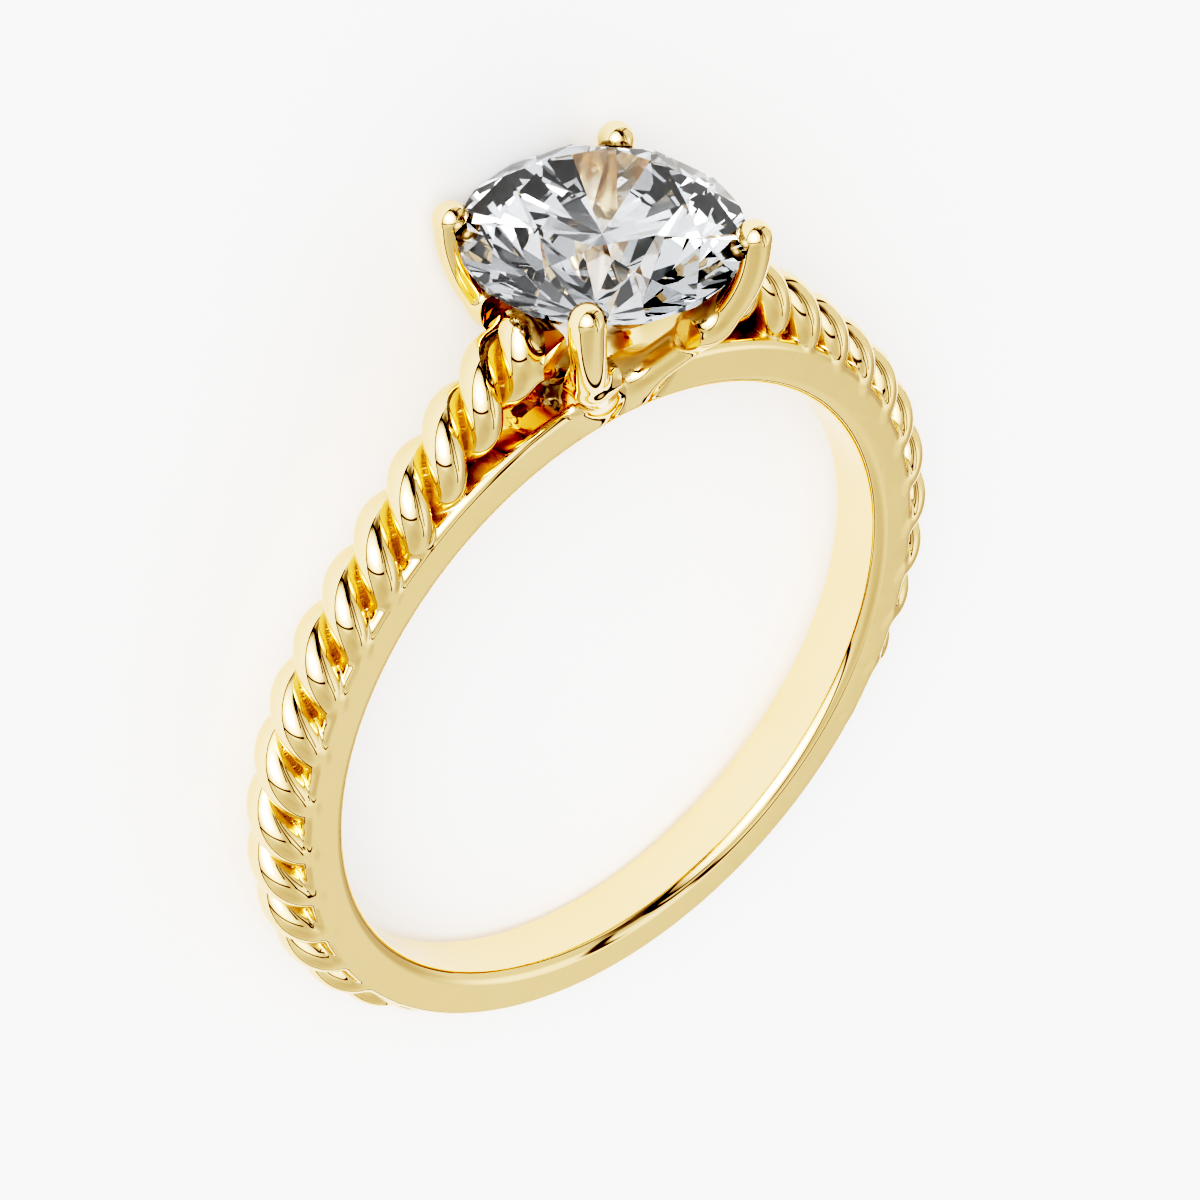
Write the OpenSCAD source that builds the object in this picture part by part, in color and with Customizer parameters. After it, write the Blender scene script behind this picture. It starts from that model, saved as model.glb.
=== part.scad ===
// Solitaire ring with a twisted shank: a slim round band, two twisted strands soldered
// along each shoulder, and a four-claw basket that holds a round brilliant.
// It is drawn upright, with the finger hole along Y and the stone on top, and is then
// laid on its side so that the stone's edge and the foot of the band touch the surface.
// All sizes are in millimetres.

/* [Finger] */
// Radius of the finger hole
finger_r = 8.25; // [7.25:0.05:10.5]

/* [Band] */
// Thickness of the plain band, from the finger hole outwards
band_t = 1.22; // [1:0.02:2]
// Width of the plain band along the finger
band_w = 1.76; // [1.4:0.02:2.2]
// Rounding of the inner edges, which makes the fit comfortable
comfort_r = 0.34; // [0.1:0.02:0.45]
// Rounding of the outer edges
edge_r = 0.22; // [0.04:0.02:0.44]

/* [Twisted strands] */
// Radius of one strand of the twist
strand_r = 0.455; // [0.4:0.005:0.58]
// Distance of a strand's middle from the middle of the twist
lay_r = 0.437; // [0.35:0.001:0.46]
// Length of one full turn of the twist
turn_l = 2.91; // [2.5:0.01:3.6]
// Height of the middle of the twist from the outside of the band
twist_rise = -0.01; // [-0.2:0.01:0.2]
// Angle from the stone at which the twist leaves the band and rises to the basket
shoulder_at = 54; // [46:1:62]
// Radius of the flatter bend in which it rises
shoulder_r = 31; // [26:1:38]
// Angle from the stone at which the twist starts to sink into the band
sink_at = 78; // [70:1:90]
// Radius of the tighter bend in which it sinks
sink_r = 8.54; // [8.2:0.02:8.9]
// Angle from the stone at which the strands start to thin out
thin_at = 100; // [90:1:115]
// Angle from the stone at which the strands end
end_at = 150; // [140:1:160]
// Share of the strands' size that is left where they end
thin_to = 0.89; // [0.8:0.01:1]
// Length of the rise, from where the twist leaves the band to its upper end
rise_l = 7.9; // [7:0.1:9]
// Turn of the strands where the twist leaves the band
lay_turn = 94.5; // [0:0.5:180]

/* [Stone] */
// Radius of the round brilliant
stone_r = 3.25; // [2.9:0.05:3.4]
// Height of the stone's culet over the outside of the band
culet_gap = 0.7; // [0.4:0.02:1.5]
// Thickness of the girdle
girdle_t = 0.2; // [0.16:0.02:0.3]
// Width of the table as a share of the stone's width
table_share = 0.57; // [0.53:0.01:0.62]
// Slope of the crown's kite facets
crown_slope = 34.5; // [32:0.5:36]
// Slope of the pavilion's main facets
pavilion_slope = 40.75; // [39:0.25:42]
// Share of the way from the table to the girdle that the star facets take
star_share = 0.5; // [0.4:0.05:0.6]
// Share of the way from the girdle to the culet that the lower half facets take
half_share = 0.77; // [0.7:0.01:0.85]

/* [Basket] */
// Radius of the wire of the claws
claw_r = 0.425; // [0.35:0.005:0.5]
// Radius of the ball at each claw's tip
tip_r = 0.43; // [0.38:0.005:0.55]
// Distance of a claw's middle outside the stone's edge
claw_out = 0.16; // [0.1:0.02:0.35]
// Height of the tips' middle over the middle of the girdle
tip_rise = 0.18; // [0.1:0.02:0.4]
// Radius of the bend of a claw below its tip
claw_bend = 3.8; // [3.2:0.1:4.4]
// Slope of the straight foot of a claw
foot_slope = 45; // [42:1:50]
// Distance of a claw's foot from the ring's middle line
foot_in = 0.85; // [0.7:0.05:1.1]
// Radius of the rail that joins neighbouring claws
rail_r = 0.36; // [0.3:0.01:0.42]
// Distance of the rails from the stone's axis
rail_out = 1.78; // [1.6:0.02:2.2]
// Clearance between the metal and the stone in its seat
seat_gap = 0.02; // [0.01:0.01:0.05]

/* [Hidden] */
gold = "#e3c983";
diamond = "#eef2f5";
$fn = 96;

// Facets across one strand, and sections along one turn of the twist
strand_facets = 8;
turn_steps = 12;
// Facets round a claw, and sections along its bend
claw_facets = 12;
bend_steps = 6;
// Share of what the twist loses in size by which it moves outwards
push_share = 0.4;
// The strands stay this far from the ring's axis, inside the band
hidden_r = finger_r + comfort_r/2;

// Band
band_r = finger_r + band_t;
band_side = band_w/2;

// Middle of the twist: a rise, a stretch along the band and a sinking end
twist_r = band_r + twist_rise;
along_l = twist_r*rad(sink_at - shoulder_at);
rise_c = (twist_r - shoulder_r)*dir(shoulder_at);
sink_c = (twist_r - sink_r)*dir(sink_at);
// Turn about the sinking bend's own middle at which the strands end
end_turn = end_at + asin(norm(sink_c)*sin(end_at - sink_at)/sink_r);
twist_l = along_l + sink_r*rad(end_turn - sink_at);
thin_l = along_l + sink_r*rad(thin_at - sink_at);
steps = round((rise_l + twist_l)/turn_l*turn_steps);

// Heights of the stone, from its culet up
culet_z = band_r + culet_gap;
girdle_low = culet_z + stone_r*tan(pavilion_slope);
girdle_top = girdle_low + girdle_t;
girdle_mid = (girdle_low + girdle_top)/2;
table_r = stone_r*table_share;
table_z = girdle_top + (stone_r - table_r)*tan(crown_slope);
// How far the facets run on past the turned edge; the kites stop twice as far inside it
facet_lap = 0.005;

// Claws, in the upright plane through the stone's axis and a claw
tip_at = stone_r + claw_out;
tip_z = girdle_mid + tip_rise;
bend_at = tip_at - claw_bend;
foot_turn = 90 - foot_slope;
foot_at = bend_at + claw_bend*cos(foot_turn);
foot_l = (foot_at - foot_in)/cos(foot_slope);
// Height of a claw's middle where the rails meet it
rail_turn = acos((rail_out*sqrt(2) - bend_at)/claw_bend);
rail_z = tip_z - claw_bend*sin(rail_turn);

// Lean of the ring once it lies with its foot and the stone's edge on the surface
rest_run = girdle_low + band_r - edge_r;
rest_drop = stone_r - band_side + edge_r;
lean = atan2(rest_drop, rest_run) - asin(edge_r/norm([rest_run, rest_drop]));

// Arc length of one unit of radius over an angle in degrees
function rad(a) = a*PI/180;
// Direction at an angle from the stone, as across and up
function dir(a) = [sin(a), cos(a)];

// Turn of the twist's own path at a length from where it leaves the band
function path_turn(l) =
    l < 0 ? shoulder_at + l/rad(shoulder_r)
    : l < along_l ? shoulder_at + l/rad(twist_r)
    : sink_at + (l - along_l)/rad(sink_r);
// Middle of the twist there, as across and up
function path_at(l) =
    l < 0 ? rise_c + shoulder_r*dir(path_turn(l))
    : l < along_l ? twist_r*dir(path_turn(l))
    : sink_c + sink_r*dir(path_turn(l));
// Share of the strands' full size there
function size_at(l) = l < thin_l ? 1 : 1 - (1 - thin_to)*(l - thin_l)/(twist_l - thin_l);
// Outward push there, so that a thinner twist keeps its outline
function push_at(l) = (1 - size_at(l))*(lay_r + strand_r)*push_share;

// One strand winds round the twist at a slope, so a cut straight across the twist shows it
// as a bean. A point of that bean's edge, by its angle about the strand's own middle:
strand_lead = turn_l/(2*PI);
strand_run = norm([lay_r, strand_lead]);
function bean(a) =
    let (turn = sin(a)*strand_r*lay_r/(strand_run*strand_lead)*180/PI,
         out = lay_r + strand_r*cos(a),
         side = strand_r*sin(a)*strand_lead/strand_run)
    [out*cos(turn) - side*sin(turn), out*sin(turn) + side*cos(turn)];
// Angle at which the bean meets its neighbour, found by halving
function crease(low, high, tries = 24) =
    tries == 0 ? low
    : let (mid = (low + high)/2)
      bean(mid).x > 0 ? crease(mid, high, tries - 1) : crease(low, mid, tries - 1);
crease_a = crease(45, 135);
half_slice = [for (i = [0:strand_facets - 1]) bean(crease_a*(2*i/strand_facets - 1))];
// The two strands cut straight across
slice = concat(half_slice, -half_slice);

// The slice as it stands at a length along the path, grown by a share
function section(l, grow) =
    let (out = [dir(path_turn(l)).x, 0, dir(path_turn(l)).y],
         mid = path_at(l),
         spin = 360*l/turn_l + lay_turn,
         size = size_at(l)*grow)
    [for (q = slice)
        keep_in([mid.x, 0, mid.y] + (push_at(l) + size*(q.x*cos(spin) - q.y*sin(spin)))*out
                - [0, size*(q.x*sin(spin) + q.y*cos(spin)), 0])];
// A point moved outwards where it would reach into the finger hole
function keep_in(q) = let (r = norm([q.x, q.z]), up = max(1, hidden_r/r)) [q.x*up, q.y, q.z*up];

// A closed tube through rings of points
module tube(rings) {
    n = len(rings[0]);
    last = len(rings) - 1;
    polyhedron(
        points = [for (ring = rings) each ring],
        faces = [
            [for (i = [0:n - 1]) i],
            for (k = [0:last - 1], i = [0:n - 1]) let (j = (i + 1)%n)
                each [[k*n + i, (k + 1)*n + i, k*n + j],
                      [(k + 1)*n + i, (k + 1)*n + j, k*n + j]],
            [for (i = [n - 1:-1:0]) last*n + i]]);
}

// The two strands along one shoulder, from their rounded upper end down into the band
module twist() {
    dome = [[0.8, 0.3], [0.6, 0.65], [0.3, 0.9]];
    tube([
        for (d = dome) section(-rise_l - d[0]*strand_r, d[1]),
        for (k = [0:steps]) section(-rise_l + k*(rise_l + twist_l)/steps, 1)]);
}

// The plain band with rounded edges
module band() {
    inner = finger_r + comfort_r;
    outer = band_r - edge_r;
    rotate([90, 0, 0]) rotate_extrude() {
        translate([finger_r, comfort_r - band_side]) square([band_t/2, band_w - 2*comfort_r]);
        translate([inner, -band_side]) square([outer - inner, band_w]);
        translate([finger_r + band_t/2, edge_r - band_side]) square([band_t/2, band_w - 2*edge_r]);
        for (s = [-1, 1]) {
            translate([inner, s*(band_side - comfort_r)]) circle(comfort_r);
            translate([outer, s*(band_side - edge_r)]) circle(edge_r);
        }
    }
}

// Ring of points round a claw's middle, by its turn along the bend, its radius and how far
// it lies below that turn in a straight line
function claw_ring(turn, r, below = 0) =
    let (out = [cos(turn), 0, -sin(turn)],
         down = [-sin(turn), 0, -cos(turn)])
    [for (k = [0:claw_facets - 1]) let (a = 360*(k + 0.5)/claw_facets)
        [bend_at, 0, tip_z] + (claw_bend + r*cos(a))*out + below*down - [0, r*sin(a), 0]];

// One claw in its upright plane: rounded tip, bend and straight foot with a rounded end
module claw() {
    tube([
        for (a = [65, 40, 18, 0]) claw_ring(0, tip_r*cos(a), -tip_r*sin(a)),
        for (k = [1:bend_steps]) claw_ring(foot_turn*k/bend_steps, claw_r),
        for (a = [0, 35, 65]) claw_ring(foot_turn, claw_r*cos(a), foot_l + claw_r*sin(a))]);
}

// The four claws and the square of rails between them
module basket() {
    for (a = [45:90:315]) rotate([0, 0, a]) claw();
    for (a = [0:90:270]) rotate([0, 0, a])
        translate([rail_out, -rail_out, rail_z]) rotate([-90, 0, 0])
            cylinder(r = rail_r, h = 2*rail_out);
}

// The stone's room in the metal: its turned outline with the seat's clearance
module seat() {
    edge = stone_r + seat_gap;
    down = seat_gap/cos(pavilion_slope);
    up = seat_gap/cos(crown_slope);
    rotate_extrude() polygon([
        [0, culet_z - down],
        [edge, culet_z - down + edge*tan(pavilion_slope)],
        [edge, girdle_top + up + (stone_r - edge)*tan(crown_slope)],
        [table_r, table_z + up],
        [0, table_z + up]]);
}

// Lays the upright ring on its side, with the stone towards +X
module lay_down() {
    rotate([0, -lean, 0]) rotate([-90, 0, 0]) rotate([0, 90, 0]) children();
}

module gold_ring() {
    color(gold) lay_down() difference() {
        union() {
            band();
            twist();
            mirror([1, 0, 0]) twist();
            basket();
        }
        seat();
    }
}

// A point of the stone by its distance from the axis, its turn about it and its height
function gem(r, turn, z) = [r*cos(turn), r*sin(turn), z];
// How steeply the plane through three points falls outwards along the first turn
function fall(a, b, c) = let (n = cross(b - a, c - a)) n.x/n.z;

// The facets of a half meet in rings of eight points. They run on past the edge to a wider
// ring of sixteen points, and the turned edge then cuts them into its fine scallops.
module rough_stone() {
    wide_r = stone_r/cos(11.25) + facet_lap;
    kite_r = stone_r - 2*facet_lap;
    star_r = table_r*cos(22.5) + (stone_r - table_r*cos(22.5))*star_share;
    star_z = girdle_top + (stone_r - star_r*cos(22.5))*tan(crown_slope);
    kite_z = girdle_top + (stone_r - kite_r)*tan(crown_slope);
    half_r = stone_r*(1 - half_share);
    half_z = culet_z + half_r*cos(22.5)*tan(pavilion_slope);
    main_z = girdle_low - (stone_r - kite_r)*tan(pavilion_slope);
    crown_fall = fall(gem(kite_r, 0, kite_z), gem(star_r, 22.5, star_z), gem(stone_r, 22.5, girdle_top));
    pavilion_fall = fall(gem(kite_r, 0, main_z), gem(half_r, 22.5, half_z), gem(stone_r, 22.5, girdle_low));
    star_fall = (star_z - girdle_top)/(stone_r - star_r);
    half_fall = (half_z - girdle_low)/(stone_r - half_r);
    rings = [
        [for (k = [0:7]) gem(table_r, 45*k, table_z)],
        [for (k = [0:7]) gem(star_r, 45*k + 22.5, star_z)],
        [for (k = [0:7]) gem(kite_r, 45*k, kite_z)],
        [for (k = [0:7]) gem(wide_r, 45*k, kite_z - (wide_r - kite_r)*crown_fall)],
        [for (k = [0:7]) gem(wide_r, 45*k + 22.5, girdle_top - (wide_r - stone_r)*star_fall)],
        [for (k = [0:7]) gem(wide_r, 45*k, main_z - (wide_r - kite_r)*pavilion_fall)],
        [for (k = [0:7]) gem(wide_r, 45*k + 22.5, girdle_low - (wide_r - stone_r)*half_fall)],
        [for (k = [0:7]) gem(kite_r, 45*k, main_z)],
        [for (k = [0:7]) gem(half_r, 45*k + 22.5, half_z)]];
    culet = 72;
    polyhedron(
        points = [for (ring = rings) each ring, [0, 0, culet_z]],
        faces = [
            [7, 6, 5, 4, 3, 2, 1, 0],
            for (k = [0:7]) let (n = (k + 1)%8, p = (k + 7)%8) each [
                [k, n, 8 + k],
                [k, 8 + k, 16 + k, 8 + p],
                [16 + k, 8 + k, 32 + k, 24 + k],
                [8 + k, 16 + n, 24 + n, 32 + k],
                [24 + k, 32 + k, 48 + k, 40 + k],
                [32 + k, 24 + n, 40 + n, 48 + k],
                [40 + k, 48 + k, 64 + k, 56 + k],
                [48 + k, 40 + n, 56 + n, 64 + k],
                [56 + k, 64 + k, culet, 64 + p]]]);
}

module center_stone() {
    color(diamond) lay_down() intersection() {
        rough_stone();
        translate([0, 0, culet_z - girdle_t])
            cylinder(r = stone_r, h = table_z - culet_z + 2*girdle_t);
    }
}

gold_ring();
center_stone();
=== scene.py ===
import bpy
import math
import numpy as np
from mathutils import Euler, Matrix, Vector
from mathutils.bvhtree import BVHTree


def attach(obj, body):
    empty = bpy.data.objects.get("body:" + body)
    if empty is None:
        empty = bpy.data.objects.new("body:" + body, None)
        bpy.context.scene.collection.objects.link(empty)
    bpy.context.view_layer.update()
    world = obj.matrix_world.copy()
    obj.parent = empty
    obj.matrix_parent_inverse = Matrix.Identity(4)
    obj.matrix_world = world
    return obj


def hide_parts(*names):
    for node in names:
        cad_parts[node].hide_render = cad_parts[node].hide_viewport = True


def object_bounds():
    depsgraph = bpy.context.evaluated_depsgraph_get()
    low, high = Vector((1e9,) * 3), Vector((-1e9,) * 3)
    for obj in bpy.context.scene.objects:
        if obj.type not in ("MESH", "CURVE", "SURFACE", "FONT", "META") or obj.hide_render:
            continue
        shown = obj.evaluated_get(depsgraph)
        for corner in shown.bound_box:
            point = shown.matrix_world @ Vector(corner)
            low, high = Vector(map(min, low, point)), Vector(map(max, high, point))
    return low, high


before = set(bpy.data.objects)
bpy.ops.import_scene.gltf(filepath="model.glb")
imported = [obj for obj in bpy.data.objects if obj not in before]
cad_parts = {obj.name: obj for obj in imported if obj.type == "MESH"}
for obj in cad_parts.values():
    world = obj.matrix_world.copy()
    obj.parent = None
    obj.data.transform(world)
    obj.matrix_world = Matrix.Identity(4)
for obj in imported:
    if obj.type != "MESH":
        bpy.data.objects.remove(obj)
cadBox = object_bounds()
scene = bpy.context.scene
print("CAD model loaded")

# The ring is worked out upright, in millimetres: finger hole along Y, stone towards +Z.
# It is then laid on its side, as it rests, and turned to metres.
lean = math.radians(6.08491)


def layDown(points):
    p = np.asarray(points, dtype=float).reshape(-1, 3)
    x, y, z = p[:, 2], -p[:, 0], -p[:, 1]
    c, s = math.cos(lean), math.sin(lean)
    return np.stack([x * c - z * s, y, x * s + z * c], axis=1)


def fromHex(code):
    # sRGB hex to linear colour
    parts = [int(code[i:i + 2], 16) / 255 for i in (0, 2, 4)]
    return tuple(v / 12.92 if v <= 0.04045 else ((v + 0.055) / 1.055) ** 2.4 for v in parts) + (1.0,)


def addNode(tree, kind, place=(0, 0), values=None, links=None, **settings):
    # one node with its settings, fixed input values and incoming links
    node = tree.nodes.new(kind)
    node.location = (place[0] * 190, -place[1] * 180)
    for name, value in settings.items():
        setattr(node, name, value)
    for key, value in (values or {}).items():
        node.inputs[key].default_value = value
    for key, source in (links or {}).items():
        tree.links.new(source, node.inputs[key])
    return node


def newMesh(name, points, faces):
    mesh = bpy.data.meshes.new(name)
    mesh.from_pydata([tuple(p) for p in points], [], [tuple(f) for f in faces])
    mesh.update()
    obj = bpy.data.objects.new(name, mesh)
    scene.collection.objects.link(obj)
    return obj


def newPath(name, points, sizes):
    # a poly curve through the points, with its radius at each
    data = bpy.data.curves.new(name, "CURVE")
    data.dimensions = "3D"
    spline = data.splines.new("POLY")
    spline.points.add(len(points) - 1)
    spline.points.foreach_set("co", np.column_stack([points, np.ones(len(points))]).ravel())
    spline.points.foreach_set("radius", np.asarray(sizes, dtype=float))
    obj = bpy.data.objects.new(name, data)
    scene.collection.objects.link(obj)
    return obj


def plainMesh(obj, name):
    # what the object's modifiers make of it, as a mesh object of its own
    graph = bpy.context.evaluated_depsgraph_get()
    mesh = bpy.data.meshes.new_from_object(obj.evaluated_get(graph), depsgraph=graph)
    bpy.data.objects.remove(obj, do_unlink=True)
    done = bpy.data.objects.new(name, mesh)
    scene.collection.objects.link(done)
    return done


def runTree(obj, tree, sizes, name):
    modifier = obj.modifiers.new(tree.name, "NODES")
    modifier.node_group = tree
    sockets = {s.name: s.identifier for s in tree.interface.items_tree if s.in_out == "INPUT"}
    for key, value in sizes.items():
        modifier[sockets[key]] = value
    return plainMesh(obj, name)


# Gold: the sizes of the metal, all in millimetres and degrees
band = {"fingerRadius": 8.25, "thickness": 1.22, "width": 1.76, "innerRounding": 0.34,
        "outerRounding": 0.22, "steps": 288}
twist = {"strandRadius": 0.455, "layRadius": 0.437, "turnLength": 2.91, "rise": -0.01,
         "shoulderAt": 54, "shoulderRadius": 31, "sinkAt": 78, "sinkRadius": 8.54,
         "thinAt": 100, "endAt": 150, "thinTo": 0.89, "riseLength": 7.9, "layTurn": 94.5,
         "pushShare": 0.4, "facets": 28, "spacing": 0.07}
basket = {"wireRadius": 0.425, "tipRadius": 0.43, "clawOut": 0.16, "tipRise": 0.18, "bendRadius": 3.8,
          "footSlope": 45, "footIn": 0.85, "railRadius": 0.36, "railOut": 1.78, "facets": 32,
          "webRadius": 0.42, "webOut": 1.95, "webUp": 0.25, "webHalf": 1.1, "webFillet": 0.4}
stone = {"radius": 3.25, "culetGap": 0.7, "girdle": 0.2, "tableShare": 0.57, "crownSlope": 34.5,
         "pavilionSlope": 40.75, "seatGap": 0.02}
# How softly the solder and the casting fill the inner corners: the width of each fillet
fillet = {"strandOnBand": 0.10, "clawOnRail": 0.40, "headOnShank": 0.50, "insideHole": 0.10}
skin = {"firstVoxel": 0.07, "voxel": 0.05, "rounds": 6, "creaseReach": 0.034, "share": 0.37,
        "longestMove": 0.08, "leastSlope": 0.2, "creaseRounds": 4, "leastCross": 0.05, "seatDepth": 0.012,
        "leastFacing": 0.3}

bandOuter = band["fingerRadius"] + band["thickness"]
twistRadius = bandOuter + twist["rise"]
turnA, turnB = math.radians(twist["shoulderAt"]), math.radians(twist["sinkAt"])


def outward(turn):
    # across and up, at an angle from the stone
    return np.stack([np.sin(turn), np.cos(turn)], axis=-1)


riseMiddle = (twistRadius - twist["shoulderRadius"]) * outward(turnA)
sinkMiddle = (twistRadius - twist["sinkRadius"]) * outward(turnB)
alongLength = twistRadius * (turnB - turnA)
endTurn = math.radians(twist["endAt"])
endTurn += math.asin(np.linalg.norm(sinkMiddle) * math.sin(endTurn - turnB) / twist["sinkRadius"])
twistLength = alongLength + twist["sinkRadius"] * (endTurn - turnB)
thinLength = alongLength + twist["sinkRadius"] * (math.radians(twist["thinAt"]) - turnB)


def twistMiddle(length):
    # middle of the twist, its outward direction and the strands' size there
    turn = np.where(length < 0, turnA + length / twist["shoulderRadius"],
                    np.where(length < alongLength, turnA + length / twistRadius,
                             turnB + (length - alongLength) / twist["sinkRadius"]))
    out = outward(turn)
    onRise, onBand = (length < 0)[..., None], (length < alongLength)[..., None]
    middle = np.where(onRise, riseMiddle + twist["shoulderRadius"] * out,
                      np.where(onBand, twistRadius * out, sinkMiddle + twist["sinkRadius"] * out))
    size = 1 - (1 - twist["thinTo"]) * np.clip((length - thinLength) / (twistLength - thinLength), 0, 1)
    push = (1 - size) * (twist["layRadius"] + twist["strandRadius"]) * twist["pushShare"]
    return middle + push[..., None] * out, out, size


def strandMiddle(length, startTurn):
    middle, out, size = twistMiddle(length)
    spin = 2 * math.pi * length / twist["turnLength"] + startTurn
    lay = twist["layRadius"] * size
    across = middle + (lay * np.cos(spin))[..., None] * out
    return np.stack([across[..., 0], -lay * np.sin(spin), across[..., 1]], axis=-1), size


# Heights of the stone over the ring's middle, and the claws in their own upright plane
culetHeight = bandOuter + stone["culetGap"]
girdleLow = culetHeight + stone["radius"] * math.tan(math.radians(stone["pavilionSlope"]))
girdleTop = girdleLow + stone["girdle"]
tableRadius = stone["radius"] * stone["tableShare"]
tableHeight = girdleTop + (stone["radius"] - tableRadius) * math.tan(math.radians(stone["crownSlope"]))
tipOut = stone["radius"] + basket["clawOut"]
tipHeight = (girdleLow + girdleTop) / 2 + basket["tipRise"]
bendOut = tipOut - basket["bendRadius"]
footTurn = math.radians(90 - basket["footSlope"])
footOut = bendOut + basket["bendRadius"] * math.cos(footTurn)
footHeight = tipHeight - basket["bendRadius"] * math.sin(footTurn)
footLength = (footOut - basket["footIn"]) / math.cos(math.radians(basket["footSlope"]))
railTurn = math.acos((basket["railOut"] * math.sqrt(2) - bendOut) / basket["bendRadius"])
railHeight = tipHeight - basket["bendRadius"] * math.sin(railTurn)


def newTree(name, inputs):
    tree = bpy.data.node_groups.new(name, "GeometryNodeTree")
    tree.interface.new_socket("Path", in_out="INPUT", socket_type="NodeSocketGeometry")
    for key, kind in inputs.items():
        tree.interface.new_socket(key, in_out="INPUT", socket_type="NodeSocket" + kind)
    tree.interface.new_socket("Mesh", in_out="OUTPUT", socket_type="NodeSocketGeometry")
    return tree, addNode(tree, "NodeGroupInput").outputs


def closeTree(tree, geometry, material, place):
    real = addNode(tree, "GeometryNodeRealizeInstances", place, links={"Geometry": geometry})
    shaded = addNode(tree, "GeometryNodeSetMaterial", (place[0] + 1, place[1]),
                     links={"Geometry": real.outputs[0], "Material": material})
    addNode(tree, "NodeGroupOutput", (place[0] + 2, place[1]), links={"Mesh": shaded.outputs[0]})


def sweep(tree, curve, radius, facets, place):
    # a round wire along a curve, as thick as the curve's own radius says
    ring = addNode(tree, "GeometryNodeCurvePrimitiveCircle", (place[0], place[1] + 1),
                   links={"Radius": radius, "Resolution": facets})
    wire = addNode(tree, "GeometryNodeCurveToMesh", (place[0] + 1, place[1]), {"Fill Caps": True},
                   {"Curve": curve, "Profile Curve": ring.outputs["Curve"]})
    if "Scale" in wire.inputs:
        size = addNode(tree, "GeometryNodeInputRadius", (place[0], place[1] + 2))
        tree.links.new(size.outputs[0], wire.inputs["Scale"])
    return wire.outputs["Mesh"]


def ballAtEnd(tree, curve, radius, facets, start, end, place):
    ball = addNode(tree, "GeometryNodeMeshUVSphere", (place[0], place[1] + 1),
                   links={"Radius": radius, "Segments": facets, "Rings": facets})
    ends = addNode(tree, "GeometryNodeCurveEndpointSelection", (place[0], place[1] + 2),
                   {"Start Size": start, "End Size": end})
    put = addNode(tree, "GeometryNodeInstanceOnPoints", (place[0] + 1, place[1]), links={
        "Points": curve, "Selection": ends.outputs[0], "Instance": ball.outputs["Mesh"]})
    return put.outputs[0]


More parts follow.
